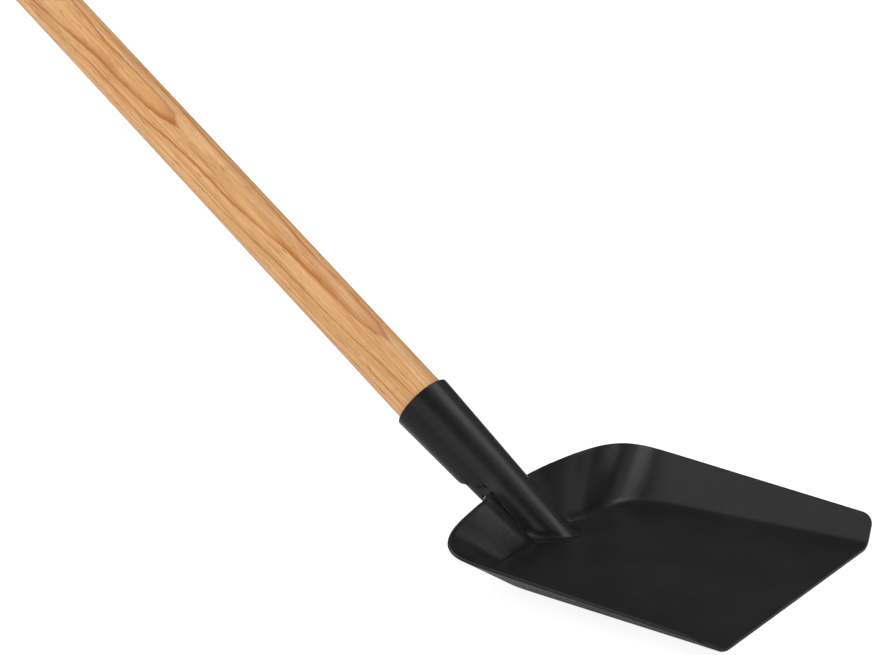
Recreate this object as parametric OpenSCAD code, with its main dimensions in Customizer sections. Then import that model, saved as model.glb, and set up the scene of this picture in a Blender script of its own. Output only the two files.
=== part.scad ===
// Scoop shovel: a pressed steel pan, a tapered steel socket and a straight wooden handle.
// Millimetres. +X points to the pan's front edge, +Z up; the pan's floor lies flat on z = 0
// and the origin is the middle of its underside.

/* [Pan] */
// Length of the flat floor, from the front edge to the back crease
pan_len = 180.5; // [150:0.5:230]
// Width of the floor at the front edge
floor_front_w = 204; // [170:1:250]
// Width of the floor where the back corners begin
floor_back_w = 184; // [160:1:230]
// Radius of the floor's back corners, in plan
floor_corner_r = 38; // [30:1:60]
// Height of the side walls at the front edge
front_wall_h = 14; // [8:0.5:24]
// How far the side walls lean outwards at the front edge
front_flare = 22; // [10:0.5:30]
// How far the front ends of the side walls lean backwards
front_lean = 6; // [0:0.5:15]
// Rounding of the side walls' upper front corners
front_round = 8; // [3:0.5:12]
// Overall width of the rim at the back corners
rim_back_w = 256; // [225:1:300]
// Height of the rim where the back corners begin
corner_h = 25.5; // [18:0.5:34]
// Height of the back wall behind the corners
back_h = 37; // [28:0.5:44]
// Height of the two shoulders beside the socket
shoulder_h = 40; // [32:0.5:50]
// Distance from the middle to each shoulder
shoulder_y = 66; // [52:1:76]
// How far the back wall leans backwards
back_lean = 11.5; // [4:0.5:24]
// How far the shoulders stand behind the back corners
shoulder_set = 3; // [0:0.5:6]
// How far the back crease comes forward at its corners
crease_set = 1.5; // [0:0.5:3]
// Length of the rim's rounded back corner along the side
rim_corner_x = 28; // [18:1:40]
// Length of the rim's rounded back corner along the back
rim_corner_y = 36; // [24:1:50]
// Half-width of the soft bend between floor and wall at the front edge
front_bend = 6; // [4:0.5:9]
// Half-width of the soft bend between floor and wall at the back
bend = 6; // [4:0.5:12]
// Thickness of the pan's sheet
sheet = 2; // [1.2:0.1:3]

/* [Socket] */
// Angle of the handle above the floor
lift = 36; // [28:0.5:45]
// Distance behind the back crease at which the handle's axis meets the floor
axis_back = 13; // [8:0.5:18]
// Length of the socket along the axis, from the floor's plane to its mouth
socket_len = 124; // [112:1:160]
// Outer diameter of the socket's mouth
mouth_d = 44.6; // [44:0.2:48]
// Outer diameter of the socket where its axis meets the floor
heel_d = 33.8; // [33.2:0.2:35.6]
// Thickness of the socket's wall
socket_wall = 2.2; // [1.4:0.1:2.4]
// Half the angle that the strap wraps around the handle, at the floor
strap_half = 88.5; // [82:0.5:89]
// Angle at which the strap's edges run in towards its top
strap_slant = 6.3; // [3:0.1:9]
// Radius of the notch between strap and tube
notch_r = 3; // [1.5:0.5:5]
// Radius of the strap's lower corners
strap_corner_r = 5; // [3:0.5:12]

/* [Tang] */
// Distance along the axis at which the pan's tang ends, inside the socket
tang_top = 90; // [75:1:100]
// Half the opening angle of the tang, seen from the top of the handle
tang_open = 74; // [66:1:80]
// Angle from the top of the handle at which the back wall meets the tang, at the floor
wall_joint = 100; // [98:1:106]
// The same angle where the rim meets the tang
rim_joint = 112; // [104:1:118]
// Distance along the axis at which the rim runs into the tang
rim_joint_t = 41; // [36:0.5:46]

/* [Handle] */
// Diameter of the handle
handle_d = 38; // [36:0.2:38.4]
// Length of the handle
handle_len = 1200; // [700:10:1500]
// Distance along the axis of the handle's lower end
tip_t = 32; // [28:0.5:40]
// Rounding of the handle's upper end
end_round = 10; // [3:0.5:16]
// Bevel of the handle's lower end
tip_edge = 1.5; // [0.5:0.5:3]

/* [Fasteners] */
// Distance of the handle screw from the socket's mouth
screw_back = 18; // [16:0.5:22]
// Shank diameter of the handle screw
screw_d = 4.5; // [3.5:0.1:6]
// Head diameter of the handle screw
screw_head_d = 9; // [7.5:0.1:11]
// Length of the handle screw
screw_len = 26; // [18:1:32]
// Length of the handle screw's point
screw_point = 3; // [2:0.5:5]
// Radius of each weld tack
tack_r = 1.6; // [1:0.1:2]
// Distance along the axis of the lower weld tacks
tack_first = 10; // [8:0.5:14]
// Distance between the weld tacks on one side
tack_gap = 14; // [8:0.5:18]

/* [Clearances] */
// Gap between the tang and the socket around it
tang_gap = 0.1; // [0.05:0.05:0.3]
// Gap between the handle and the metal around it
handle_gap = 0.15; // [0.05:0.05:0.4]
// Gap along the axis between the rim's end and the socket's cut edge above it
rim_gap = 13.5; // [9:0.5:18]
// Gap around the screw in the socket's hole
screw_gap = 0.05; // [0.02:0.01:0.15]

/* [Hidden] */
$fn = 96;
far = 60;                 // reach of a cut past what it cuts
axis_x = -(pan_len + axis_back);
screw_t = socket_len - screw_back;

steel = [0.16, 0.16, 0.165];
wood = [0.86, 0.66, 0.48];

// ---------- helpers ----------

function unit(v) = v / norm(v);
function mix(a, b, t) = a + (b - a) * t;
function bez(a, b, c, d, t) =
    pow(1 - t, 3) * a + 3 * pow(1 - t, 2) * t * b + 3 * (1 - t) * t * t * c + pow(t, 3) * d;

// radii along the axis; t is the distance from the floor's upper surface
function so(t) = (heel_d + (mouth_d - heel_d) * t / socket_len) / 2;   // socket, outside
function si(t) = so(t) - socket_wall;                                  // socket, inside
function to(t) = si(t) - tang_gap;                                     // tang, outside
function ti(t) = to(t) - sheet;                                        // tang, inside

along = [-cos(lift), 0, sin(lift)];
above = [sin(lift), 0, cos(lift)];
// a point beside the axis: distance t along it, radius r, angle a from the top towards +Y
function round_axis(t, r, a) =
    [axis_x, 0, 0] + t * along + r * (cos(a) * above + sin(a) * [0, 1, 0]);
// distance along the axis at which the line at angle a on the tang meets height z
function tang_t(a, z) =
    let (k = (mouth_d - heel_d) / 2 / socket_len)
    (z - to(0) * cos(a) * cos(lift)) / (sin(lift) + k * cos(a) * cos(lift));

// the floor's upper surface is drawn at z = 0 with the front edge at x = 0, then moved
module placed() { translate([pan_len / 2, 0, sheet]) children(); }
module on_axis() { translate([axis_x, 0, 0]) rotate([0, lift - 90, 0]) children(); }

// ---------- the pan's sheet ----------

// crease between floor and wall, in plan, for the +Y half
crease_a = [0, floor_front_w / 2, 0];
crease_b = [-(pan_len - floor_corner_r), floor_back_w / 2, 0];
crease_c = [-pan_len + crease_set, floor_back_w / 2 - 0.8 * floor_corner_r, 0];
crease_d = [-pan_len, shoulder_y * 0.55, 0];
crease_e = round_axis(tang_t(wall_joint, 0), to(0) - 0.6, wall_joint);
side_dir = unit(crease_b - crease_a);

// rim of the wall, for the +Y half
rim_a = [-front_lean, floor_front_w / 2 + front_flare, front_wall_h];
rim_b = [-(pan_len + back_lean - rim_corner_x), rim_back_w / 2, corner_h];
rim_c = [-(pan_len + back_lean), rim_back_w / 2 - rim_corner_y, back_h];
rim_d = [-(pan_len + back_lean + shoulder_set), shoulder_y, shoulder_h];
rim_e = round_axis(rim_joint_t, to(rim_joint_t) - 0.6, rim_joint);
rim_dir = unit(rim_b - rim_a);

// stations: the front corner, the side, the back corner, the back, and the run to the tang
side_len = norm(rim_b - rim_a);
front_n = 4;
side_n = 3;
corner_n = 9;
back_n = 4;
joint_n = 8;
front_s = [for (k = [0:front_n]) front_round * (1 - cos(90 * k / front_n)) / side_len];
side_s = [for (k = [1:side_n]) mix(front_round / side_len, 1, k / side_n)];

function rim_corner(t) =
    bez(rim_b, rim_b + 0.64 * rim_corner_x * rim_dir,
        rim_c + [0, 0.76 * rim_corner_y, -0.5 * (back_h - corner_h)], rim_c, t);
function rim_back(t) =
    bez(rim_c, mix(rim_c, rim_d, 0.32) + [1, 0, 0.8],
        rim_d + [1, 0.3 * (rim_c[1] - rim_d[1]), 0], rim_d, t);
function rim_run(t) =
    bez(rim_d, rim_d + [-4, -0.21 * shoulder_y, 0.5], rim_e + [9, 12, 10], rim_e, t);
function crease_corner(t) =
    bez(crease_b, crease_b + 0.5 * floor_corner_r * side_dir,
        crease_c + [0.5, 0.48 * floor_corner_r, 0], crease_c, t);
function crease_back(t) =
    bez(crease_c, crease_c + [-0.8, -6, 0], crease_d + [0, 6, 0], crease_d, t);
function crease_run(t) =
    bez(crease_d, crease_d + [0, -0.26 * shoulder_y, 0], crease_e + [8, 5, 0], crease_e, t);

// each station is [crease point, rim point, share of the wall that stands, softness of the bend]
stations = concat(
    [for (k = [0:front_n]) let (s = front_s[k], w = norm(rim_a - crease_a))
        [mix(crease_a, crease_b, s), mix(rim_a, rim_b, s),
         1 - front_round * (1 - sin(90 * k / front_n)) / w, mix(front_bend, bend, s)]],
    [for (s = side_s) [mix(crease_a, crease_b, s), mix(rim_a, rim_b, s), 1,
                       mix(front_bend, bend, s)]],
    [for (k = [1:corner_n]) let (t = k / corner_n) [crease_corner(t), rim_corner(t), 1, bend]],
    [for (k = [1:back_n]) let (t = k / back_n) [crease_back(t), rim_back(t), 1, bend]],
    [for (k = [1:joint_n]) let (t = k / joint_n)
        [crease_run(t), rim_run(t), 1, mix(0.6, bend, pow(1 - t, 2.2))]]);
last = len(stations) - 1;

// direction in plan from the crease into the floor
function inward(i) =
    let (p = stations[max(i - 1, 0)][0], q = stations[min(i + 1, last)][0], d = unit(q - p))
    [-d[1], d[0], 0];

bend_n = 4;
wall_n = 3;
cols = bend_n + wall_n;
// inner face of the sheet: row i is a section from the floor, round the bend and up the wall
function section(i) =
    let (c = stations[i][0], r = stations[i][1], soft = stations[i][3],
         top = c + (r - c) * stations[i][2],
         a = c + inward(i) * soft,
         w = c + unit(r - c) * soft)
    concat(
        [for (k = [0:bend_n]) let (t = k / bend_n)
            pow(1 - t, 2) * a + 2 * t * (1 - t) * c + t * t * w],
        [for (k = [1:wall_n]) mix(w, top, k / wall_n)]);
inner = [for (i = [0:last]) section(i)];

function across(i, j) = inner[min(i + 1, last)][j] - inner[max(i - 1, 0)][j];
function upward(i, j) = inner[i][min(j + 1, cols)] - inner[i][max(j - 1, 0)];
function outward(i, j) = j == 0 ? [0, 0, -1] : unit(cross(across(i, j), upward(i, j)));
outer = [for (i = [0:last]) [for (j = [0:cols]) inner[i][j] + sheet * outward(i, j)]];

function flipped(p) = [p[0], -p[1], p[2]];
// vertices: inner and outer face of the +Y half, then of the -Y half
sheet_points = concat(
    [for (row = inner) for (p = row) p],
    [for (row = outer) for (p = row) p],
    [for (row = inner) for (p = row) flipped(p)],
    [for (row = outer) for (p = row) flipped(p)]);
per_face = (last + 1) * (cols + 1);
function at(layer, i, j) = layer * per_face + i * (cols + 1) + j;

// two triangles between rows i, i + 1 and columns j, j + 1; flip turns them over
function pair(a, b, c, d, flip) = flip ? [[a, b, c], [a, c, d]] : [[c, b, a], [d, c, a]];
sheet_faces = concat(
    [for (layer = [0:3]) for (i = [0:last - 1]) for (j = [0:cols - 1])
        each pair(at(layer, i, j), at(layer, i + 1, j), at(layer, i + 1, j + 1), at(layer, i, j + 1),
                  layer == 1 || layer == 2)],
    // rim
    [for (half = [0, 2]) for (i = [0:last - 1])
        each pair(at(half, i, cols), at(half, i + 1, cols), at(half + 1, i + 1, cols),
                  at(half + 1, i, cols), half == 2)],
    // front ends and tang ends of the walls
    [for (half = [0, 2]) for (j = [0:cols - 1])
        each pair(at(half, 0, j), at(half, 0, j + 1), at(half + 1, 0, j + 1), at(half + 1, 0, j),
                  half == 2)],
    [for (half = [0, 2]) for (j = [0:cols - 1])
        each pair(at(half, last, j), at(half, last, j + 1), at(half + 1, last, j + 1),
                  at(half + 1, last, j), half == 0)],
    // front edge of the floor and the joint's end
    [[at(0, 0, 0), at(1, 0, 0), at(3, 0, 0), at(2, 0, 0)]],
    [[at(2, last, 0), at(3, last, 0), at(1, last, 0), at(0, last, 0)]],
    // floor, top and bottom
    [concat([for (i = [0:last]) at(0, i, 0)], [for (i = [last:-1:0]) at(2, i, 0)])],
    [concat([for (i = [0:last]) at(3, i, 0)], [for (i = [last:-1:0]) at(1, i, 0)])]);

module pan_sheet() { polyhedron(points = sheet_points, faces = sheet_faces, convexity = 8); }

// a solid of revolution about the axis between t0 and t1, with a straight-sided profile
module cone_to(r0, r1, t0, t1) { translate([0, 0, t0]) cylinder(h = t1 - t0, r1 = r0, r2 = r1); }

// side view of what the socket leaves free behind the strap: from the strap's rounded lower
// corner along its edge to the rounded notch, then back at 45 degrees; local frame of the axis
function strap_edge(t) = so(0) * cos(strap_half) + t * tan(strap_slant);
foot_t = -strap_edge(0) / (tan(lift) + tan(strap_slant));
notch_t = (rim_joint_t + rim_gap + to(rim_joint_t) * cos(rim_joint) - strap_edge(0))
    / (1 + tan(strap_slant));
up_edge = [sin(strap_slant), cos(strap_slant)];
off_edge = [cos(strap_slant), -sin(strap_slant)];
strap_open = let (
        foot = [strap_edge(foot_t), foot_t],
        d = strap_corner_r * tan((lift + strap_slant) / 2),
        corner_mid = foot + d * up_edge + strap_corner_r * off_edge,
        notch_mid = [strap_edge(notch_t), notch_t] - notch_r * tan((45 + strap_slant) / 2) * up_edge
            - notch_r * off_edge)
    concat(
        [foot + d * [sin(lift), -cos(lift)] - 0.3 * [cos(lift), sin(lift)]],
        [for (k = [1:5]) let (b = 180 + lift - (lift + strap_slant) * k / 5)
            corner_mid + strap_corner_r * [cos(b), sin(b)]],
        [for (k = [0:8]) let (b = -strap_slant + (45 + strap_slant) * k / 8)
            notch_mid + notch_r * [cos(b), sin(b)]],
        [[strap_edge(0) - far, notch_t + far], [strap_edge(0) - far, -far]]);

module tang() {
    intersection() {
        on_axis() rotate([0, 0, tang_open])
            rotate_extrude(angle = 360 - 2 * tang_open)
                polygon([[ti(-far / 2), -far / 2], [to(-far / 2), -far / 2],
                         [to(tang_top), tang_top], [ti(tang_top), tang_top]]);
        translate([axis_x - tang_top - far, -far, -0.9 * sheet])
            cube([tang_top + 2 * far, 2 * far, tang_top + far]);
    }
}

// The floor runs on as a tongue below the handle, as far as the tang's bottom. Tang and tongue
// end just inside the floor's thickness, so that no faces lie in one plane where they join.
module tongue() {
    intersection() {
        on_axis() cone_to(to(-far / 2), to(far), -far / 2, far);
        translate([axis_x - far, -far, -0.97 * sheet]) cube([2 * far, 2 * far, 0.94 * sheet]);
    }
}

module pan() {
    color(steel) placed() resize([0, 0, 0]) union() {
        pan_sheet();
        tang();
        tongue();
    }
}

// ---------- socket ----------

module socket() {
    color(steel) placed() difference() {
        on_axis() rotate_extrude()
            polygon([[si(-far), -far], [so(-far), -far],
                     [so(socket_len - 0.6), socket_len - 0.6], [so(socket_len) - 0.5, socket_len],
                     [si(socket_len) + 0.3, socket_len], [si(socket_len - 0.4), socket_len - 0.4]]);
        on_axis() rotate([90, 0, 0]) linear_extrude(height = 2 * far, center = true)
            polygon(strap_open);
        translate([axis_x - 2 * far, -far, -3 * far]) cube([5 * far, 2 * far, 3 * far]);
        on_axis() screw_hole();
    }
}

// countersunk hole, from the underside of the socket towards the axis
module screw_hole() {
    head_h = (screw_head_d - screw_d) / 2;
    translate([-so(screw_t), 0, screw_t]) rotate([0, 90, 0]) {
        cylinder(h = screw_len + 1, r = screw_d / 2 + screw_gap);
        translate([0, 0, -1]) cylinder(h = 1 + 0.2, r = screw_head_d / 2 + screw_gap);
        translate([0, 0, 0.2]) cylinder(h = head_h, r1 = screw_head_d / 2 + screw_gap,
                                         r2 = screw_d / 2 + screw_gap);
    }
}

module socket_screw() {
    head_h = (screw_head_d - screw_d) / 2;
    color([0.3, 0.3, 0.31]) placed() on_axis()
        translate([-so(screw_t), 0, screw_t]) rotate([0, 90, 0]) difference() {
            union() {
                cylinder(h = screw_len - screw_point, r = screw_d / 2);
                translate([0, 0, screw_len - screw_point])
                    cylinder(h = screw_point, r1 = screw_d / 2, r2 = 0.4);
                cylinder(h = 0.2, r = screw_head_d / 2);
                translate([0, 0, 0.2]) cylinder(h = head_h, r1 = screw_head_d / 2, r2 = screw_d / 2);
            }
            // cross recess
            for (a = [0, 90]) rotate([0, 0, a]) translate([-2.2, -0.5, -1]) cube([4.4, 1, 2.2]);
        }
}

// ---------- handle ----------

module handle() {
    r = handle_d / 2;
    end_t = tip_t + handle_len;
    // where the seat's cone reaches the handle's own diameter
    slope = (mouth_d - heel_d) / 2 / socket_len;
    seat_t = (r + handle_gap - si(0)) / slope;
    color(wood) placed() on_axis() difference() {
        rotate_extrude()
            polygon(concat(
                [[0, tip_t], [si(tip_t) - handle_gap - tip_edge, tip_t],
                 [si(tip_t + tip_edge) - handle_gap, tip_t + tip_edge], [r, seat_t]],
                [for (k = [0:12]) let (b = 90 * k / 12)
                    [r - end_round * (1 - cos(b)), end_t - end_round * (1 - sin(b))]],
                [[0, end_t]]));
        // rebate for the tang, on the handle's underside
        rotate([0, 0, tang_open - 1]) rotate_extrude(angle = 360 - 2 * (tang_open - 1))
            polygon([[ti(tip_t - 2) - handle_gap, tip_t - 2], [to(tip_t - 2) + 5, tip_t - 2],
                     [to(tang_top) + 5, tang_top + 1],
                     [ti(tang_top + 1) - handle_gap, tang_top + 1]]);
        translate([-so(screw_t), 0, screw_t]) rotate([0, 90, 0])
            cylinder(h = screw_len + 0.5, r = screw_d / 2 + screw_gap);
        translate([-so(screw_t), 0, screw_t]) rotate([0, 90, 0]) translate([0, 0, 0.2])
            cylinder(h = (screw_head_d - screw_d) / 2, r1 = screw_head_d / 2 + screw_gap,
                     r2 = screw_d / 2 + screw_gap);
    }
}

// ---------- welds ----------

// tacks along both edges of the strap, on the tang beside it
tack_ts = [tack_first, tack_first + tack_gap];
module weld_tacks() {
    color(steel) placed() on_axis()
        for (t = tack_ts) for (side = [1, -1])
            difference() {
                translate([strap_edge(t), side * sqrt(pow(to(t), 2) - pow(strap_edge(t), 2)), t])
                    sphere(r = tack_r, $fn = 32);
                translate([0, 0, t - 3 * tack_r]) cylinder(h = 6 * tack_r, r = to(t) + 0.07);
                translate([strap_edge(t), -far, t]) rotate([0, strap_slant, 0])
                    translate([0, 0, -3 * tack_r]) cube([far, 2 * far, 6 * tack_r]);
            }
}

pan();
socket();
handle();
socket_screw();
weld_tacks();
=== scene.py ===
"""Looks of the grain scoop shovel: a pressed steel pan, a tapered steel socket and a straight
wooden handle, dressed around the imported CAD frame. Shapes are worked out in millimetres in the
drawing frame of the CAD model, and placed in metres in the row frame."""

import math
import random

import bmesh
import bpy
import numpy as np
from mathutils import Matrix, Vector


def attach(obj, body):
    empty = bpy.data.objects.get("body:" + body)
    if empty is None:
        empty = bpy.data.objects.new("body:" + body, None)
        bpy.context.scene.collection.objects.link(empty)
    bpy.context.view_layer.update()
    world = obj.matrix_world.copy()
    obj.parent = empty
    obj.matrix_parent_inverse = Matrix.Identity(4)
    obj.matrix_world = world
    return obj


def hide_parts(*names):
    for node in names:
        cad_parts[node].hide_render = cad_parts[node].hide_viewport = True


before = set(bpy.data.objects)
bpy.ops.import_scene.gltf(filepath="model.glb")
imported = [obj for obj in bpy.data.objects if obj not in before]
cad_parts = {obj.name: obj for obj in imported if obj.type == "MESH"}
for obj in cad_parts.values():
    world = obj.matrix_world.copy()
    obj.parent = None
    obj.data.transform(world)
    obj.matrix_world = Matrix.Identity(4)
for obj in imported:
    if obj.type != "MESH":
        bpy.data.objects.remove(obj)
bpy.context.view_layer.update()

MM = 0.001
BODY = "root"

# ---------- sizes of the CAD model that the finer pieces follow, in millimetres ----------

PAN_LEN, SHEET = 180.5, 2.0
FLOOR_FRONT_W, FLOOR_BACK_W, FLOOR_CORNER_R = 204.0, 184.0, 38.0
FRONT_WALL_H, FRONT_FLARE, FRONT_LEAN, FRONT_ROUND = 14.0, 22.0, 6.0, 8.0
RIM_BACK_W, CORNER_H, BACK_H = 256.0, 25.5, 37.0
SHOULDER_H, SHOULDER_Y, BACK_LEAN = 40.0, 66.0, 11.5
SHOULDER_SET, CREASE_SET = 3.0, 1.5
RIM_CORNER_X, RIM_CORNER_Y = 28.0, 36.0
FRONT_BEND, BEND, JOINT_BEND = 6.0, 6.0, 0.6

LIFT = math.radians(36.0)
AXIS_BACK = 13.0
AXIS_X = -(PAN_LEN + AXIS_BACK)
SOCKET_LEN, MOUTH_R, HEEL_R, SOCKET_WALL = 124.0, 22.3, 16.9, 2.2
TAPER = (MOUTH_R - HEEL_R) / SOCKET_LEN
STRAP_HALF, STRAP_SLANT = math.radians(88.5), math.radians(6.3)
NOTCH_R, STRAP_CORNER_R = 3.0, 5.0
CUT_SLOPE = math.radians(45.0)
TANG_TOP, TANG_OPEN = 90.0, math.radians(74.0)
WALL_JOINT, RIM_JOINT, RIM_JOINT_T, RIM_GAP = math.radians(100.0), math.radians(112.0), 41.0, 13.5
JOINT_SINK = 0.6
HANDLE_R, HANDLE_LEN, TIP_T, TIP_EDGE, END_ROUND = 19.0, 1200.0, 32.0, 1.5, 10.0
TACK_FIRST, TACK_GAP = 10.0, 14.0
TANG_GAP, HANDLE_GAP = 0.1, 0.15

ALONG = np.array([-math.cos(LIFT), 0.0, math.sin(LIFT)])
ABOVE = np.array([math.sin(LIFT), 0.0, math.cos(LIFT)])
SIDE = np.array([0.0, 1.0, 0.0])
AXIS_0 = np.array([AXIS_X, 0.0, 0.0])
SHIFT = np.array([PAN_LEN / 2, 0.0, SHEET])   # from the drawing frame to the row frame
MIRROR = np.array([1.0, -1.0, 1.0])           # from the +Y side to the -Y side


def so(t):
    """Outer radius of the socket at distance t along the axis."""
    return HEEL_R + TAPER * t


def si(t):
    """Inner radius of the socket."""
    return so(t) - SOCKET_WALL


def to(t):
    """Outer radius of the pan's tang."""
    return si(t) - TANG_GAP


def round_axis(t, r, a):
    """Point beside the handle's axis: distance t along it, radius r, angle a from its top."""
    return AXIS_0 + t * ALONG + r * (math.cos(a) * ABOVE + math.sin(a) * SIDE)


def off_axis(place):
    """Distance along the axis, radius and angle of a point beside it."""
    rel = place - AXIS_0
    t = rel @ ALONG
    return t, np.linalg.norm(rel - t * ALONG), math.atan2(rel @ SIDE, rel @ ABOVE)


def on_floor(a, r0, z=0.0):
    """Distance along the axis at which the line at angle a on a cone, of radius r0 at the axis's
    start, meets the height z."""
    return (z - r0 * math.cos(a) * math.cos(LIFT)) / (
        math.sin(LIFT) + TAPER * math.cos(a) * math.cos(LIFT))


def strap_edge(t):
    """Edge of the strap seen from the side: its offset above the axis at distance t along it."""
    return so(0) * math.cos(STRAP_HALF) + t * math.tan(STRAP_SLANT)


# where the strap's edge meets the floor and the notch, along the axis
FOOT_T = -strap_edge(0) / (math.tan(LIFT) + math.tan(STRAP_SLANT))
NOTCH_T = (RIM_JOINT_T + RIM_GAP + to(RIM_JOINT_T) * math.cos(RIM_JOINT) - strap_edge(0)) / (
    1 + math.tan(STRAP_SLANT))


def point(x, y, z=0.0):
    return np.array([x, y, z], float)


def unit(v):
    v = np.asarray(v, float)
    return v / np.linalg.norm(v)


def mix(a, b, t):
    return a + (b - a) * t


def curve(a, b, c, t):
    """Point on the quadratic curve from a to c, with b as its middle control point."""
    return (1 - t) ** 2 * a + 2 * t * (1 - t) * b + t * t * c


def bez(a, b, c, d, t):
    return (1 - t) ** 3 * a + 3 * (1 - t) ** 2 * t * b + 3 * (1 - t) * t * t * c + t ** 3 * d


# ---------- mesh helpers ----------

def link_mesh(name, mesh):
    obj = bpy.data.objects.new(name, mesh)
    bpy.context.scene.collection.objects.link(obj)
    return obj


def mesh_object(name, points, faces, smooth_deg=35.0):
    """Object from points in millimetres of the drawing frame."""
    mesh = bpy.data.meshes.new(name)
    pts = (np.asarray(points, float) + SHIFT) * MM
    mesh.from_pydata([tuple(p) for p in pts], [], [tuple(f) for f in faces])
    mesh.validate()
    mesh.update()
    obj = link_mesh(name, mesh)
    finish_shading(obj, smooth_deg)
    make_normals_consistent(obj)
    return obj


def finish_shading(obj, smooth_deg):
    """Smooth faces, with edges sharper than the given angle kept."""
    mesh = obj.data
    mesh.polygons.foreach_set("use_smooth", [True] * len(mesh.polygons))
    mesh.set_sharp_from_angle(angle=math.radians(smooth_deg))


def make_normals_consistent(obj):
    bm = bmesh.new()
    bm.from_mesh(obj.data)
    bmesh.ops.remove_doubles(bm, verts=bm.verts, dist=1e-6)
    bmesh.ops.recalc_face_normals(bm, faces=bm.faces)
    bm.to_mesh(obj.data)
    bm.free()


def apply_modifiers(obj):
    """Bakes the object's modifiers into its mesh."""
    graph = bpy.context.evaluated_depsgraph_get()
    baked = bpy.data.meshes.new_from_object(obj.evaluated_get(graph))
    obj.modifiers.clear()
    obj.data = baked


def round_edges(obj, width):
    """Rounds the object's sharp edges; the width is in millimetres."""
    mod = obj.modifiers.new("round", "BEVEL")
    mod.width = width * MM
    mod.segments = 2
    mod.limit_method = "ANGLE"
    mod.angle_limit = math.radians(50)
    apply_modifiers(obj)


def unite(obj, others):
    """Joins closed meshes into obj."""
    for k, other in enumerate(others):
        mod = obj.modifiers.new(f"join{k}", "BOOLEAN")
        mod.operation = "UNION"
        mod.solver = "MANIFOLD"
        mod.object = other
    apply_modifiers(obj)
    for other in others:
        bpy.data.objects.remove(other)
    finish_shading(obj, 40)


def shell_faces(rows, cols, closed_rows):
    """Faces of a closed sheet: an inner grid, an outer grid and the strips round their edges."""
    per = rows * cols
    inner = lambda i, j: (i % rows) * cols + j
    outer = lambda i, j: per + (i % rows) * cols + j
    faces = []
    last = rows if closed_rows else rows - 1
    for i in range(last):
        for j in range(cols - 1):
            faces.append((inner(i, j), inner(i + 1, j), inner(i + 1, j + 1), inner(i, j + 1)))
            faces.append((outer(i, j + 1), outer(i + 1, j + 1), outer(i + 1, j), outer(i, j)))
    for i in range(last):
        faces.append((inner(i, 0), outer(i, 0), outer(i + 1, 0), inner(i + 1, 0)))
        faces.append((inner(i + 1, cols - 1), outer(i + 1, cols - 1), outer(i, cols - 1),
                      inner(i, cols - 1)))
    if not closed_rows:
        for j in range(cols - 1):
            faces.append((inner(0, j + 1), outer(0, j + 1), outer(0, j), inner(0, j)))
            faces.append((inner(rows - 1, j), outer(rows - 1, j), outer(rows - 1, j + 1),
                          inner(rows - 1, j + 1)))
    return faces


def sheet_object(name, inner, outer, closed_rows=False):
    """Closed sheet between two grids of points."""
    rows, cols = inner.shape[:2]
    pts = np.concatenate([inner.reshape(-1, 3), outer.reshape(-1, 3)])
    return mesh_object(name, pts, shell_faces(rows, cols, closed_rows))


def ring_object(name, rows):
    """Closed mesh through a row of rings, with a face at each end."""
    r, c = rows.shape[:2]
    faces = [(i * c + j, (i + 1) * c + j, (i + 1) * c + (j + 1) % c, i * c + (j + 1) % c)
             for i in range(r - 1) for j in range(c)]
    faces += [tuple(range(c)), tuple((r - 1) * c + j for j in reversed(range(c)))]
    return mesh_object(name, rows.reshape(-1, 3), faces)


# ---------- the pan's sheet ----------

# stations along the front corner, the side, the rear corner, the back and the joint
FRONT_N, SIDE_N, CORNER_N, BACK_N, JOINT_N = 9, 30, 30, 14, 30
EVENING_ROUNDS = 16


def pan_curves():
    """Where the crease between floor and wall and the rim above it change direction on the +Y
    side: at the front, the ends of side and rear corner, the shoulder and the joint with the tang."""
    back, rim_back = -PAN_LEN, -(PAN_LEN + BACK_LEAN)
    crease = {
        "front": point(0, FLOOR_FRONT_W / 2),
        "side": point(back + FLOOR_CORNER_R, FLOOR_BACK_W / 2),
        "corner": point(back + CREASE_SET, FLOOR_BACK_W / 2 - 0.8 * FLOOR_CORNER_R),
        "shoulder": point(back, SHOULDER_Y * 0.55),
        "joint": round_axis(on_floor(WALL_JOINT, to(0)), to(0) - JOINT_SINK, WALL_JOINT),
    }
    rim = {
        "front": point(-FRONT_LEAN, FLOOR_FRONT_W / 2 + FRONT_FLARE, FRONT_WALL_H),
        "side": point(rim_back + RIM_CORNER_X, RIM_BACK_W / 2, CORNER_H),
        "corner": point(rim_back, RIM_BACK_W / 2 - RIM_CORNER_Y, BACK_H),
        "shoulder": point(rim_back - SHOULDER_SET, SHOULDER_Y, SHOULDER_H),
        "joint": round_axis(RIM_JOINT_T, to(RIM_JOINT_T) - JOINT_SINK, RIM_JOINT),
    }
    return crease, rim


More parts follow.
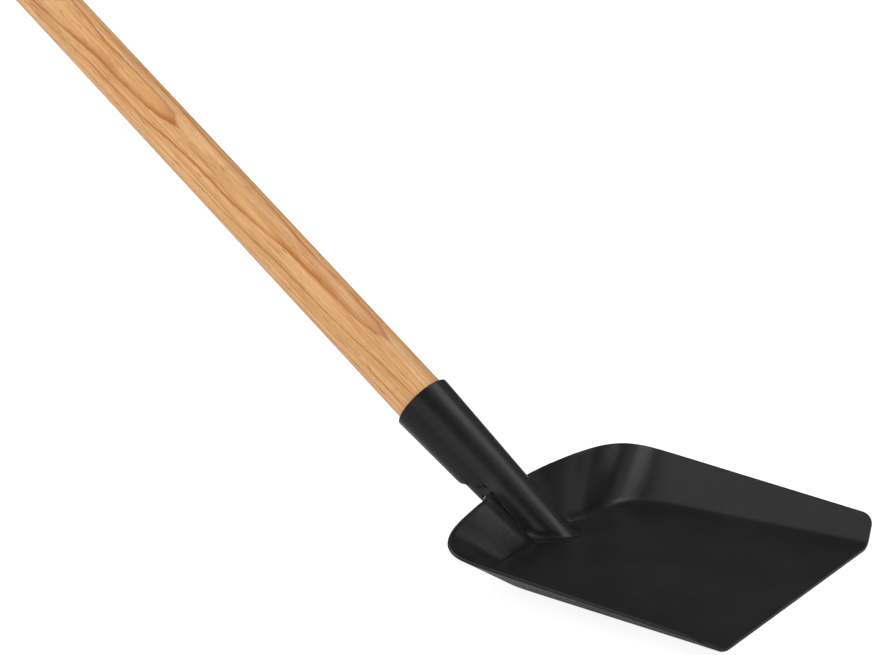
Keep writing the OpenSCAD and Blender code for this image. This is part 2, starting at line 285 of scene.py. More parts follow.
def pan_stations():
    """Stations round the +Y half: crease point, rim point, share of wall that stands, softness."""
    crease, rim = pan_curves()
    crease_dir = unit(crease["side"] - crease["front"])
    rim_dir = unit(rim["side"] - rim["front"])
    side_len = np.linalg.norm(rim["side"] - rim["front"])
    wall = np.linalg.norm(rim["front"] - crease["front"])
    out = []

    def add_side(s, share):
        out.append((mix(crease["front"], crease["side"], s), mix(rim["front"], rim["side"], s),
                    share, mix(FRONT_BEND, BEND, s)))

    for k in range(FRONT_N + 1):
        q = math.radians(90 * k / FRONT_N)
        add_side(FRONT_ROUND * (1 - math.cos(q)) / side_len,
                 1 - FRONT_ROUND * (1 - math.sin(q)) / wall)
    for k in range(1, SIDE_N + 1):
        add_side(mix(FRONT_ROUND / side_len, 1.0, k / SIDE_N), 1.0)
    for k in range(1, CORNER_N + 1):
        t = k / CORNER_N
        low = bez(crease["side"], crease["side"] + 0.5 * FLOOR_CORNER_R * crease_dir,
                  crease["corner"] + point(0.5, 0.48 * FLOOR_CORNER_R), crease["corner"], t)
        high = bez(rim["side"], rim["side"] + 0.64 * RIM_CORNER_X * rim_dir,
                   rim["corner"] + point(0, 0.76 * RIM_CORNER_Y, -0.5 * (BACK_H - CORNER_H)),
                   rim["corner"], t)
        out.append((low, high, 1.0, BEND))
    for k in range(1, BACK_N + 1):
        t = k / BACK_N
        low = bez(crease["corner"], crease["corner"] + point(-0.8, -6),
                  crease["shoulder"] + point(0, 6), crease["shoulder"], t)
        high = bez(rim["corner"], mix(rim["corner"], rim["shoulder"], 0.32) + point(1, 0, 0.8),
                   rim["shoulder"] + point(1, 0.3 * (rim["corner"][1] - rim["shoulder"][1])),
                   rim["shoulder"], t)
        out.append((low, high, 1.0, BEND))
    for k in range(1, JOINT_N + 1):
        t = k / JOINT_N
        low = bez(crease["shoulder"], crease["shoulder"] + point(0, -0.26 * SHOULDER_Y),
                  crease["joint"] + point(8, 5), crease["joint"], t)
        high = bez(rim["shoulder"], rim["shoulder"] + point(-4, -0.21 * SHOULDER_Y, 0.5),
                   rim["joint"] + point(9, 12, 10), rim["joint"], t)
        out.append((low, high, 1.0, mix(JOINT_BEND, BEND, (1 - t) ** 2.2)))

    # even out the curvature where side, corner and back meet
    first, last = FRONT_N + SIDE_N - 3, len(out) - JOINT_N // 2
    for _ in range(EVENING_ROUNDS):
        before = list(out)
        for i in range(first, last):
            low, high = ((before[i - 1][k] + 2 * before[i][k] + before[i + 1][k]) / 4
                         for k in (0, 1))
            out[i] = (low, high) + before[i][2:]
    return out


def pan_grid(bend_n=10, wall_n=14, floor_n=14):
    """Inner face of the sheet, row by row from the front: rim, wall, bend, floor, and mirrored."""
    stations = pan_stations()
    rows = []
    for i, (low, high, share, soft) in enumerate(stations):
        before, after = stations[max(i - 1, 0)][0], stations[min(i + 1, len(stations) - 1)][0]
        d = unit(after - before)
        on_pan_floor = low + np.array([-d[1], d[0], 0.0]) * soft
        on_wall = low + unit(high - low) * soft
        top = low + (high - low) * share
        half = [mix(top, on_wall, k / wall_n) for k in range(wall_n)]
        half += [curve(on_wall, low, on_pan_floor, k / bend_n) for k in range(bend_n + 1)]
        across = [mix(on_pan_floor, on_pan_floor * MIRROR, k / floor_n) for k in range(1, floor_n)]
        rows.append(half + across + [p * MIRROR for p in reversed(half)])
    return np.array(rows)


def offset_grid(grid, distance):
    """The grid moved along its own normals."""
    n = np.cross(np.gradient(grid, axis=0), np.gradient(grid, axis=1))
    n /= np.linalg.norm(n, axis=2, keepdims=True)
    return grid + distance * n


def build_pan():
    inner = pan_grid()
    obj = sheet_object("pan_sheet", inner, offset_grid(inner, -SHEET))
    round_edges(obj, 0.45)
    return obj


def tang_pieces():
    """The half-round tang and the tongue of floor below it, as closed meshes."""
    grids = []
    for shell in (SHEET, 0.0):          # inner face, outer face
        rows = []
        for a in np.linspace(TANG_OPEN, 2 * math.pi - TANG_OPEN, 97):
            start = on_floor(a, to(0) - shell, -0.9 * SHEET)
            rows.append([round_axis(t, to(t) - shell, a) for t in np.linspace(start, TANG_TOP, 40)])
        grids.append(np.array(rows))
    tang = sheet_object("tang", *grids)
    round_edges(tang, 0.4)

    # tongue: the floor's outline just inside the tang's outer face, as a thin plate
    ring = []
    for a in np.linspace(-math.pi, math.pi, 96, endpoint=False):
        t = on_floor(a, to(0))
        ring.append(round_axis(t, to(t) - 0.25, a))
    plate = np.array([[point(p[0], p[1], z) for p in ring] for z in (-0.03 * SHEET, -0.97 * SHEET)])
    return [tang, ring_object("tongue", plate)]


def joint_fillet(side, inside):
    """Concave weld fillet in front of or behind the back wall, where it runs into the tang."""
    stations = pan_stations()
    beside, last = stations[-4], stations[-1]
    up = unit(last[1] - last[0])
    sunk = 0.04                                           # keeps the fillet's edges under the faces
    rows = []
    for w in np.linspace(0.08, 0.985, 30) if inside else np.linspace(0.2, 0.8, 20):
        p = mix(last[0], last[1], w)
        d = unit(mix(beside[0], beside[1], w) - p)        # along the wall, away from the tang
        n = unit(np.cross(up, d))
        n = n if (n[0] > 0) == inside else -n             # out of the face that gets the fillet
        face = p if inside else p + SHEET * n
        near, beyond = -3.0, 12.0                         # where that face meets the tang
        for _ in range(40):
            middle = (near + beyond) / 2
            t, r, _ = off_axis(face + middle * d)
            near, beyond = (middle, beyond) if r < to(t) else (near, middle)
        corner = face + near * d
        t, _, a = off_axis(corner)
        radius = mix(4.0, 6.5, w) if inside else mix(5.0, 1.2, w)
        turn = -radius / to(t) if inside else radius / to(t)
        on_wall = corner + radius * d - sunk * n
        on_tang = round_axis(t, to(t) - sunk, a + turn)
        rows.append([curve(on_wall, corner, on_tang, s) for s in np.linspace(0, 1, 11)]
                    + [round_axis(t, to(t) - 0.9, a + turn),
                       round_axis(t, to(t) - 1.0, a) - 0.5 * n, on_wall - 0.9 * n])
    rows = np.array(rows)
    rows[:, :, 1] *= side
    rows[:, :, 2] = np.maximum(rows[:, :, 2], -0.95 * SHEET)
    return ring_object("fillet", rows)


# ---------- socket ----------

MOUTH_ROUND = 0.5


def strap_side(n_corner, n_edge, n_notch):
    """Side view of the strap's free edge: lower corner, slanted edge and notch, as (offset above
    the axis, distance along it)."""
    up = np.array([math.sin(STRAP_SLANT), math.cos(STRAP_SLANT)])
    off = np.array([math.cos(STRAP_SLANT), -math.sin(STRAP_SLANT)])
    d = STRAP_CORNER_R * math.tan((LIFT + STRAP_SLANT) / 2)
    corner_mid = np.array([strap_edge(FOOT_T), FOOT_T]) + d * up + STRAP_CORNER_R * off
    notch = NOTCH_R * math.tan((CUT_SLOPE + STRAP_SLANT) / 2)
    notch_mid = np.array([strap_edge(NOTCH_T), NOTCH_T]) - notch * up - NOTCH_R * off
    arc = lambda mid, r, b: mid + r * np.array([math.cos(b), math.sin(b)])
    side = [arc(corner_mid, STRAP_CORNER_R, b)
            for b in np.linspace(math.pi + LIFT, math.pi - STRAP_SLANT, n_corner + 1)]
    side += [mix(side[-1], notch_mid + NOTCH_R * off, i / n_edge) for i in range(1, n_edge)]
    return side + [arc(notch_mid, NOTCH_R, b)
                   for b in np.linspace(-STRAP_SLANT, CUT_SLOPE, n_notch + 1)]


def socket_edge(n_floor=40, n_corner=10, n_edge=24, n_notch=8, n_cut=40):
    """Lower edge of the socket's +Y half, point by point from the nose to the far side of the
    cut: (angle, distance along the axis) on the outer face and on the inner face. Then the
    indices at which the strap's free edge begins and ends."""
    side = strap_side(n_corner, n_edge, n_notch)
    edge = [tuple((math.acos(x / radius(t)), t) for radius in (so, si)) for x, t in side]
    floor = []
    for i in range(n_floor):
        angles = [edge[0][face][0] * i / n_floor for face in (0, 1)]
        floor.append(tuple((a, on_floor(a, radius(0))) for a, radius in zip(angles, (so, si))))
    # the sloping cut: t = t0 + (x0 - x) with x = r(t) cos(angle), solved by iteration
    x0, t0 = side[-1]
    cut = []
    for i in range(1, n_cut + 1):
        pair = []
        for (a0, _), radius in zip(edge[-1], (so, si)):
            a, t = mix(a0, math.pi, i / n_cut), t0
            for _ in range(30):
                t = t0 + x0 - radius(t) * math.cos(a)
            pair.append((a, t))
        cut.append(tuple(pair))
    return floor + edge + cut, n_floor, n_floor + n_corner + n_edge - 1


def build_socket():
    """Socket and strap, in rows that start on the lower edge and end at the rounded mouth."""
    edge, foot, cut = socket_edge()
    lean = 60.0                      # length along the axis over which the rows even out
    grids = []
    for face, radius, inward in ((1, si, -MOUTH_ROUND), (0, so, MOUTH_ROUND)):
        free_a, free_t = zip(*(edge[i][face] for i in range(foot, cut + 1)))
        rows = []
        for i, pair in enumerate(edge):
            start, t0 = pair[face]
            share = start / np.interp(t0, free_t, free_a)
            end = mix(free_a[-1], math.pi, (i - cut) / (len(edge) - 1 - cut))
            row = []
            for t in np.linspace(t0, SOCKET_LEN - MOUTH_ROUND, 61):
                even = min(1.0, (t - t0) / lean)
                # rows below the notch keep within the strap's free edge
                if i <= cut:
                    a = mix(share, i / cut, even) * np.interp(t, free_t, free_a)
                else:
                    a = mix(start, end, even * even)
                row.append(round_axis(t, radius(t), a))
            for b in np.radians([30, 60, 90]):
                t = SOCKET_LEN - MOUTH_ROUND * (1 - math.sin(b))
                row.append(round_axis(t, radius(t) - inward * (1 - math.cos(b)), a))
            rows.append(row)
        half = np.array(rows)
        grids.append(np.concatenate([half, (half * MIRROR)[-2:0:-1]]))
    return sheet_object("socket_body", *grids, closed_rows=True)


def foot_weld(side):
    """Flared lip along the strap's foot: narrow at the nose, wide and rounded off at the corner."""
    first = math.acos(strap_side(1, 2, 1)[0][0] / so(0))
    ease = lambda x: x * x * (3 - 2 * x)
    full, rounded = 0.85, 0.9        # shares of the foot: the lip is full, its end rounds off
    rows = []
    for w in np.linspace(0.0, 1.0, 49):
        a = first * mix(0.02, 1.04, w)
        swell = ease(min(1.0, w / full))
        reach, height = mix(0.8, 7.5, swell), mix(1.5, 8.0, swell)
        if w > rounded:
            left = math.sqrt(max(0.0, 1.0 - ((w - rounded) / (1 - rounded)) ** 2))
            reach, height = reach * mix(0.45, 1.0, left), height * mix(0.6, 1.0, left)
        t = on_floor(a, so(0))
        foot = round_axis(t, so(t), a)
        up = unit(round_axis(t + 1.0, so(t + 1.0), a) - foot)
        out = unit(point((foot[0] - AXIS_X) * math.sin(LIFT) ** 2, foot[1]))
        top = foot + height * up
        toe = foot + reach * out + point(0, 0, 0.5)
        knee = foot + 0.1 * reach * out + 0.1 * height * up + point(0, 0, 0.5)
        rows.append([curve(top, knee, toe, s) for s in np.linspace(0, 1, 11)]
                    + [toe + 0.25 * out - point(0, 0, 0.2), toe + 0.25 * out - point(0, 0, 1.2),
                       foot - 0.8 * out - point(0, 0, 0.3), top - 0.8 * out])
    rows = np.array(rows)
    rows[:, :, 1] *= side
    return ring_object("foot_weld", rows)


# ---------- handle ----------

def axis_matrix():
    """Places an object whose own Z runs along the handle's axis, from where it meets the floor."""
    m = Matrix(np.column_stack([ABOVE, SIDE, ALONG]).tolist()).to_4x4()
    m.translation = Vector((AXIS_0 + SHIFT) * MM)
    return m


def build_handle(around=144):
    """Round stick with a tapered seat in the socket and a rebate for the tang."""
    end_t = TIP_T + HANDLE_LEN
    center = 0.001                   # the ends' rings all but close on the axis
    seat = lambda t: min(HANDLE_R, si(t) - HANDLE_GAP)
    profile = [(center, TIP_T), (seat(TIP_T) - TIP_EDGE, TIP_T),
               (seat(TIP_T + TIP_EDGE), TIP_T + TIP_EDGE)]
    profile += [(seat(t), t) for t in np.linspace(TIP_T + 4, SOCKET_LEN, 46)]
    profile += [(HANDLE_R, t) for t in np.linspace(SOCKET_LEN + 6, end_t - END_ROUND, 60)]
    profile += [(HANDLE_R - END_ROUND * (1 - math.cos(b)), end_t - END_ROUND * (1 - math.sin(b)))
                for b in np.radians(np.linspace(6, 90, 15))]
    profile.append((center, end_t))
    rings = []
    for r, t in profile:
        ring = []
        for i in range(around):
            a = 2 * math.pi * i / around
            behind = abs(a if a <= math.pi else 2 * math.pi - a) > TANG_OPEN - math.radians(1)
            rebated = behind and t < TANG_TOP + 1
            rr = min(r, to(t) - SHEET - HANDLE_GAP) if rebated else r
            ring.append((rr * math.cos(a), rr * math.sin(a), t))
        rings.append(ring)
    # drawn upright at its own origin, so that the wood's grain can follow its Z axis
    obj = ring_object("handle_stick", np.array(rings) - SHIFT)
    finish_shading(obj, 35)
    obj.matrix_world = axis_matrix()
    return obj


# ---------- weld beads ----------

# along the strap's edge: distance along the axis and length of each bead
WELD_BEADS = ((TACK_FIRST, 5.5), (TACK_FIRST + TACK_GAP, 6.5))
BEAD_WIDTH, BEAD_HEIGHT = 2.6, 1.3


def bead_points(center, along, out, length, lumps, n_u):
    """Rings of points round a lumpy bead that lies along one direction and swells in another."""
    side = np.cross(along, out)
    rings = []
    for u in np.linspace(0.0, math.pi, n_u + 1):
        ring = []
        for j, lump in enumerate(lumps):
            v = 2 * math.pi * j / len(lumps)
            w = lump * (1 + 0.06 * math.sin(5 * u))
            ring.append(center + along * (-math.cos(u) * length / 2)
                        + side * (math.sin(u) * math.cos(v) * BEAD_WIDTH / 2 * w)
                        + out * (math.sin(u) * math.sin(v) * BEAD_HEIGHT * w))
        rings.append(ring)
    return rings


def build_welds():
    """Lumpy weld tacks along both edges of the strap."""
    rng = random.Random(7)
    n_u, n_v = 14, 18
    pts, faces = [], []
    for s in (-1, 1):
        for t, length in WELD_BEADS:
            a = math.acos(strap_edge(t) / to(t)) + 0.03
            out = unit(math.cos(a) * ABOVE + s * math.sin(a) * SIDE)
            lumps = [rng.uniform(0.8, 1.15) for _ in range(n_v)]
            base = len(pts)
            for ring in bead_points(round_axis(t, to(t) + 0.5, s * a), ALONG, out, length, lumps, n_u):
                pts += ring
            for i in range(n_u):
                low, high = base + i * n_v, base + (i + 1) * n_v
                faces += [(low + j, low + (j + 1) % n_v, high + (j + 1) % n_v, high + j)
                          for j in range(n_v)]
    return mesh_object("weld_beads", pts, faces, 60)


# ---------- materials ----------

class Nodes:
    """Short calls for building the nodes of a material or a world."""

    def __init__(self, owner):
        self.owner = owner
        owner.use_nodes = True
        self.tree = owner.node_tree
        self.tree.nodes.clear()

    def node(self, kind, inputs=None, **props):
        n = self.tree.nodes.new(kind)
        for key, value in props.items():
            setattr(n, key, value)
        for key, value in (inputs or {}).items():
            self.feed(n.inputs[key], value)
        return n

    def feed(self, socket, value):
        """Links a socket's value, or sets a constant."""
        if isinstance(value, bpy.types.NodeSocket):
            self.tree.links.new(value, socket)
        else:
            socket.default_value = value

    def math(self, op, a, b=0.0, c=0.0):
        return self.node("ShaderNodeMath", {0: a, 1: b, 2: c}, operation=op).outputs[0]

    def product(self, first, *others):
        for other in others:
            first = self.math("MULTIPLY", first, other)
        return first

    def vector(self, op, a, b=(0, 0, 0), scale=None):
        n = self.node("ShaderNodeVectorMath", {0: a, 1: b}, operation=op)
        if scale is not None:
            self.feed(n.inputs["Scale"], scale)
        return n.outputs["Value" if op == "DOT_PRODUCT" else "Vector"]

    def noise(self, vector, scale, detail=2.0, rough=0.5):
        return self.node("ShaderNodeTexNoise", {
            "Vector": vector, "Scale": scale, "Detail": detail, "Roughness": rough}).outputs["Fac"]

    def ramp(self, value, low, high, out_low=0.0, out_high=1.0):
        """Smooth step from one value at low to another at high."""
        return self.node("ShaderNodeMapRange", {
            "Value": value, "From Min": low, "From Max": high, "To Min": out_low,
            "To Max": out_high}, interpolation_type="SMOOTHSTEP").outputs["Result"]

    def between(self, value, rise, full, fall, end):
        """1 from full to fall, and 0 before rise and after end."""
        return self.product(self.ramp(value, rise, full), self.ramp(value, fall, end, 1.0, 0.0))

    def mix(self, factor, a, b):
        """Colour a where the factor is 0 and b where it is 1."""
        n = self.node("ShaderNodeMix", data_type="RGBA")
        self.feed(n.inputs["Factor"], factor)
        for socket, value in zip((s for s in n.inputs if s.type == "RGBA"), (a, b)):
            self.feed(socket, value)
        return [s for s in n.outputs if s.type == "RGBA"][0]

    def bump(self, height, distance, strength=1.0, normal=None):
        n = self.node("ShaderNodeBump", {"Height": height, "Distance": distance,
                                         "Strength": strength})
        if normal is not None:
            self.feed(n.inputs["Normal"], normal)
        return n.outputs["Normal"]

    def shader(self, **inputs):
        n = self.node("ShaderNodeBsdfPrincipled")
        for key, value in inputs.items():
            self.feed(n.inputs[key.replace("_", " ")], value)
        out = self.node("ShaderNodeOutputMaterial")
        self.tree.links.new(n.outputs[0], out.inputs["Surface"])
        return self.owner


def linear(r, g, b):
    """Linear colour from 8-bit display values."""
    f = lambda c: c / 12.92 if c <= 0.04045 else ((c + 0.055) / 1.055) ** 2.4
    return (f(r / 255), f(g / 255), f(b / 255), 1.0)


def axis_coordinates(n, place):
    """Offset above the handle's axis, sideways offset and distance along it, in millimetres."""
    rel = n.vector("SCALE", n.vector("SUBTRACT", place, tuple((AXIS_0 + SHIFT) * MM)), scale=1 / MM)
    return [n.vector("DOT_PRODUCT", rel, tuple(direction)) for direction in (ABOVE, SIDE, ALONG)]


PAINT_DARK, PAINT_PALE, PAINT_GRIT = (24, 24, 25), (29, 29, 30), (50, 50, 52)
# the first two greys below are painted light: a lift of the shade in the groove beside the strap, and
# a highlight along the strap's edge
PAINTED_LIGHT_GREY, PAINTED_HIGHLIGHT_GREY, PIT_BLACK = (52, 52, 53), (88, 88, 89), (6, 6, 6)
# dark marks of the welding at the notch and foot: distance along the axis, angle from the
# axis's top in degrees, and radius
WELD_PITS = ((57, 105, 1.3), (48.5, 94, 2.4), (45.5, 82, 2.2), (38, 82, 2.0), (42, 110, 2.6),
             (-13, 66, 1.3))


def black_paint():
    """Satin black paint, sprayed over pressed sheet, with painted light in the groove beside the strap
    and a painted highlight along the strap's edge.
    """
    n = Nodes(bpy.data.materials.new("black_paint"))
    place = n.node("ShaderNodeTexCoord").outputs["Object"]
    cloud = n.noise(place, 18.0, 3.0, 0.55)
    blotch = n.noise(place, 60.0)
    fine = n.noise(place, 420.0)
    grit = n.noise(place, 1900.0, 1.0)
    waves = n.noise(place, 26.0, 1.0, 0.4)
    color = n.mix(n.ramp(cloud, 0.35, 0.68), linear(*PAINT_DARK), linear(*PAINT_PALE))
    color = n.mix(n.ramp(grit, 0.72, 0.82, 0.0, 0.4), color, linear(*PAINT_GRIT))

    # painted light lifting the shade in the groove beside the strap's edge, and a thin painted
    # highlight along that edge
    above, sideways, along = axis_coordinates(n, place)
    width = n.math("ABSOLUTE", sideways)
    edge = n.math("MULTIPLY_ADD", along, math.tan(STRAP_SLANT), strap_edge(0))
    beside = n.math("SUBTRACT", above, edge)
    near_strap = n.product(n.between(along, -6, 2, NOTCH_T - 4, NOTCH_T + 8), n.ramp(width, 8, 12))
    # painted light: a paler grey that lifts the shade in the groove between the strap and the back
    # wall
    painted_groove_light = n.product(n.between(beside, -14, -4, -1, 9), near_strap, 0.85)
    color = n.mix(painted_groove_light, color, linear(*PAINTED_LIGHT_GREY))
    # painted highlight: a thin pale line along the strap's edge, broken in places
    painted_edge_highlight = n.product(n.between(beside, -0.7, -0.2, 0.2, 0.8), near_strap,
                     n.ramp(blotch, 0.38, 0.5), n.ramp(along, 26, 30, 1, 0))
    color = n.mix(painted_edge_highlight, color, linear(*PAINTED_HIGHLIGHT_GREY))
    pits = 0.0
    for t, angle, size in WELD_PITS:
        offset = n.math("SUBTRACT", above, so(t) * math.cos(math.radians(angle)))
        apart = n.math("POWER", n.math("SUBTRACT", along, t), 2.0)
        apart = n.math("SQRT", n.math("ADD", apart, n.math("POWER", offset, 2.0)))
        apart = n.math("ADD", apart, n.math("MULTIPLY_ADD", blotch, 3.0, -1.5))
        pits = n.math("MAXIMUM", n.ramp(apart, 0.3 * size, size, 1.0, 0.0), pits)
    pits = n.product(pits, n.ramp(width, 6, 8))
    color = n.mix(n.product(pits, 0.85), color, linear(*PIT_BLACK))

    # the back crease and the middle of the strap's foot are dull with settled dust
    height = n.node("ShaderNodeSeparateXYZ", {"Vector": place}).outputs["Z"]
    height = n.math("MULTIPLY_ADD", height, 1 / MM, -SHEET)      # millimetres above the pan's floor
    around = n.math("SQRT", n.math("ADD", n.math("POWER", above, 2.0),
                                   n.math("POWER", sideways, 2.0)))
    crease = n.product(n.between(height, 0.1, 1.0, 3, 8), n.ramp(width, 50, 72, 1, 0),
                       n.ramp(around, 23, 27))
    foot = n.product(n.between(height, 0.1, 0.6, 3, 8), n.between(width, 6, 9, 15, 19),
                     n.ramp(around, 30, 34, 1, 0))
    dust = n.math("MAXIMUM", crease, foot)
    shine = n.product(n.ramp(pits, 0.0, 1.0, 0.5, 0.15), n.ramp(dust, 0.0, 1.0, 1.0, 0.3))

    rough = n.math("ADD", n.ramp(cloud, 0.3, 0.7, 0.27, 0.34),
                   n.ramp(fine, 0.3, 0.7, -0.03, 0.03))
    normal = n.bump(waves, 0.0012, 0.22)
    normal = n.bump(blotch, 0.0004, 0.12, normal)
    normal = n.bump(fine, 0.00012, 0.05, normal)
    normal = n.bump(grit, 0.00003, 0.05, normal)
    return n.shader(Base_Color=color, Roughness=rough, Normal=normal, IOR=1.25,
                    Specular_IOR_Level=shine)


def screw_steel():
    """Plain bright steel with fine turning marks."""
    n = Nodes(bpy.data.materials.new("screw_steel"))
    fine = n.noise(n.node("ShaderNodeTexCoord").outputs["Object"], 900.0)
    rough = n.ramp(fine, 0.3, 0.7, 0.28, 0.42)
    return n.shader(Base_Color=linear(168, 168, 170), Metallic=1.0, Roughness=rough,
                    Normal=n.bump(fine, 0.00004, 0.3))


WOOD_LIGHT, WOOD_DARK, WOOD_PALE = (213, 163, 109), (200, 149, 96), (227, 184, 135)
WOOD_FIBRE, WOOD_PORE = (180, 126, 74), (132, 86, 48)
WOOD_RING, WOOD_CORE = (172, 98, 38), (80, 42, 14)
# height of each dark growth ring over the stick's surface on its crest side, in millimetres,
# at RING_START along the axis; the rings sink by RING_SINK for each millimetre from there on
GROWTH_RINGS = (-34.0, -28.0, -21.5, -16.0, -7.2, 0.0, 4.3, 9.0, 14.5, 19.0)
RING_START, RING_SINK = 175.0, 0.019
CREST_ANGLE, CREST_TURN = math.radians(15.5), math.radians(0.08)


def handle_wood():
    """Varnished hardwood: growth rings that run out along the stick in long pointed arches. The
    grain follows the object's own Z axis."""
    n = Nodes(bpy.data.materials.new("handle_wood"))
    place = n.vector("SCALE", n.node("ShaderNodeTexCoord").outputs["Object"], scale=1 / MM)
    x, y, z = n.node("ShaderNodeSeparateXYZ", {"Vector": place}).outputs

    def stretched(across, along, detail=2.0, rough=0.5):
        return n.noise(n.vector("MULTIPLY", place, (across, across, along)), 1.0, detail, rough)

    # height over the axis, towards the rings' crest, which turns slowly round the stick
    past = n.math("SUBTRACT", z, RING_START)
    turn = n.math("MULTIPLY_ADD", past, CREST_TURN, CREST_ANGLE)
    rise = n.math("SUBTRACT", n.product(x, n.math("COSINE", turn)),
                  n.product(y, n.math("SINE", turn)))
    # the same height counted from the rings, which are wavy
    wave = n.math("COSINE", n.math("MULTIPLY_ADD", past, 0.0546, -1.86))
    field = n.math("MULTIPLY_ADD", past, RING_SINK, n.math("SUBTRACT", rise, HANDLE_R))
    field = n.math("ADD", field, n.math("MULTIPLY_ADD", wave, 0.5, 0.14))
    wander = stretched(0.07, 0.03, 3.0, 0.6)
    field = n.math("ADD", field, n.math("MULTIPLY_ADD", wander, 1.6, -0.8))
    shiver = stretched(0.5, 0.12)
    field = n.math("ADD", field, n.math("MULTIPLY_ADD", shiver, 0.5, -0.25))

    band, core = 0.0, 0.0
    for level in GROWTH_RINGS:
        off = n.math("SUBTRACT", field, level)
        band = n.math("MAXIMUM", n.between(off, -0.35, 0.15, 0.15, 1.5), band)
        core = n.math("MAXIMUM", n.between(off, -0.3, 0.0, 0.0, 0.35), core)
    crest = n.ramp(rise, 9.0, 16.5)             # 1 where the rings lie flat under the surface
    broken = n.ramp(stretched(0.12, 0.06), 0.38, 0.58)
    fleck = n.ramp(stretched(1.1, 0.16), 0.42, 0.56)
    patchy = n.ramp(stretched(0.1, 0.02), 0.3, 0.6, 0.45, 1.0)

    # pores and fibres, drawn out along the axis
    pores = stretched(1.6, 0.09, 2.0, 0.6)
    fibres = stretched(0.7, 0.02, 4.0, 0.65)
    broad = stretched(0.11, 0.006)
    color = n.mix(n.ramp(broad, 0.35, 0.65), linear(*WOOD_LIGHT), linear(*WOOD_DARK))
    color = n.mix(n.ramp(fibres, 0.5, 0.68, 0.0, 0.65), color, linear(*WOOD_FIBRE))
    color = n.mix(n.ramp(fibres, 0.5, 0.32, 0.0, 0.6), color, linear(*WOOD_PALE))
    stain = n.product(band, patchy, n.ramp(crest, 0, 1, 0.35, 0.9))
    color = n.mix(stain, color, linear(*WOOD_RING))
    dark = n.product(core, n.ramp(crest, 0, 1, 1.0, 0.3), n.ramp(broken, 0, 1, 0.6, 1.0),
                     n.ramp(fleck, 0, 1, 0.7, 1.0))
    color = n.mix(dark, color, linear(*WOOD_CORE))
    open_pores = n.product(n.ramp(pores, 0.57, 0.7), n.ramp(broken, 0, 1, 0.3, 0.8))
    color = n.mix(open_pores, color, linear(*WOOD_PORE))
    rough = n.ramp(fibres, 0.3, 0.7, 0.36, 0.44)
    normal = n.bump(pores, 0.00005, 0.25)
    return n.shader(Base_Color=color, Roughness=rough, Normal=normal, IOR=1.36)


# ---------- floor, light and camera ----------

def white_floor():
    """A large pale floor. To the camera it glows, so that it shows white and still keeps the
    object's soft shadow; in reflections it glows only faintly."""
    size, mirrored = 30.0, 0.07
    mesh = bpy.data.meshes.new("floor")
    mesh.from_pydata([(-size, -size, 0), (size, -size, 0), (size, size, 0), (-size, size, 0)],
                     [], [(0, 1, 2, 3)])
    obj = link_mesh("floor", mesh)
    n = Nodes(bpy.data.materials.new("floor_white"))
    path = n.node("ShaderNodeLightPath")
    seen = n.math("MAXIMUM", path.outputs["Is Camera Ray"],
                  n.product(path.outputs["Is Glossy Ray"], mirrored))
    unseen = n.node("ShaderNodeBsdfDiffuse", {"Color": (0.8, 0.8, 0.8, 1)})
    shaded = n.node("ShaderNodeBsdfDiffuse", {"Color": (0.34, 0.34, 0.34, 1)})
    glow = n.node("ShaderNodeEmission", {"Color": (1, 1, 1, 1), "Strength": 0.86})
    white = n.node("ShaderNodeAddShader", {0: shaded.outputs[0], 1: glow.outputs[0]})
    pick = n.node("ShaderNodeMixShader", {"Fac": seen, 1: unseen.outputs[0], 2: white.outputs[0]})
    n.node("ShaderNodeOutputMaterial", {"Surface": pick.outputs[0]})
    mesh.materials.append(n.owner)


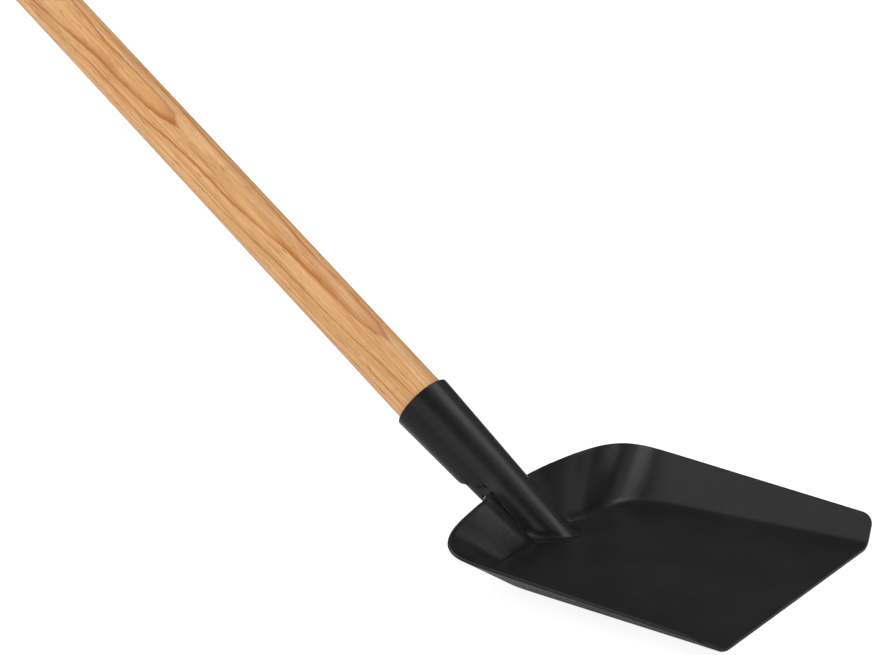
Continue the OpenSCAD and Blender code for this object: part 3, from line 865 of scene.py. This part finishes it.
# soft patches of light: azimuth from +X towards +Y, elevation, radius within which the light is
# full and radius at which it ends, all in degrees, and brightness. Right and left are the camera's
SOFT_LIGHTS = (
    (48, 61, 7, 23, 4.4),       # main softbox, high on the right
    (84, 34, 4, 14, 0.4),       # faint patch below it, farther from the camera
    (30, 34, 10, 26, 1.2),      # below it, on the right
    (-14, 57, 4, 13, 1.6),      # high on the right, nearer the camera
    (175, 70, 8, 22, 1.7),      # high on the left
    (-160, 18, 9, 24, 3.2),     # low on the left
    (-138, 46, 10, 30, 1.9),    # on the left
    (-92, 23, 12, 27, 1.2),     # behind the camera, on its left
    (-56, 12, 12, 32, 2.4),     # behind the camera
    (-104, 4, 6, 18, 0.7),      # just above the floor, on the camera's left
    (61, -1, 6, 16, 1.6),       # pale board low on the right
)
DIM_ROOM = 0.1


def studio():
    """A dim room with soft patches of light."""
    world = bpy.data.worlds.new("studio")
    bpy.context.scene.world = world
    n = Nodes(world)
    way = n.node("ShaderNodeTexCoord").outputs["Generated"]
    level = DIM_ROOM
    for azimuth, elevation, full, end, brightness in SOFT_LIGHTS:
        az, el = math.radians(azimuth), math.radians(elevation)
        middle = (math.cos(el) * math.cos(az), math.cos(el) * math.sin(az), math.sin(el))
        near = n.vector("DOT_PRODUCT", way, middle)
        patch = n.ramp(near, math.cos(math.radians(end)), math.cos(math.radians(full)),
                       0.0, brightness)
        level = n.math("ADD", patch, level)
    back = n.node("ShaderNodeBackground", {"Color": level})
    n.node("ShaderNodeOutputWorld", {"Surface": back.outputs[0]})


def camera():
    """View from the front and the -Y side, looking slightly down into the pan."""
    data = bpy.data.cameras.new("camera")
    data.lens = 78.816
    data.sensor_width = 36.0
    obj = bpy.data.objects.new("camera", data)
    obj.location = (0.5644, -1.04264, 0.47865)
    pitch, yaw = math.radians(15.1135), math.radians(125.8305)
    obj.rotation_euler = (math.pi / 2 - pitch, 0, yaw - math.pi / 2)
    bpy.context.scene.collection.objects.link(obj)
    bpy.context.scene.camera = obj


# ---------- assembly ----------

def paint_over(obj, material):
    obj.data.materials.clear()
    obj.data.materials.append(material)


def dress(obj, material, nodes):
    """Gives a piece its material and puts it in the place of its CAD nodes."""
    paint_over(obj, material)
    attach(obj, BODY)
    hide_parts(*nodes)


paint = black_paint()
pan = build_pan()
unite(pan, tang_pieces() + [joint_fillet(side, inside)
                            for side in (1, -1) for inside in (False, True)])
dress(pan, paint, ["pan"])
socket = build_socket()
unite(socket, [foot_weld(1), foot_weld(-1)])
dress(socket, paint, ["socket"])
dress(build_welds(), paint, ["weld_tacks"])
dress(build_handle(), handle_wood(), ["handle"])
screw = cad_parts["socket_screw"]
paint_over(screw, screw_steel())

white_floor()
studio()
camera()
bpy.context.scene.view_settings.view_transform = "Standard"
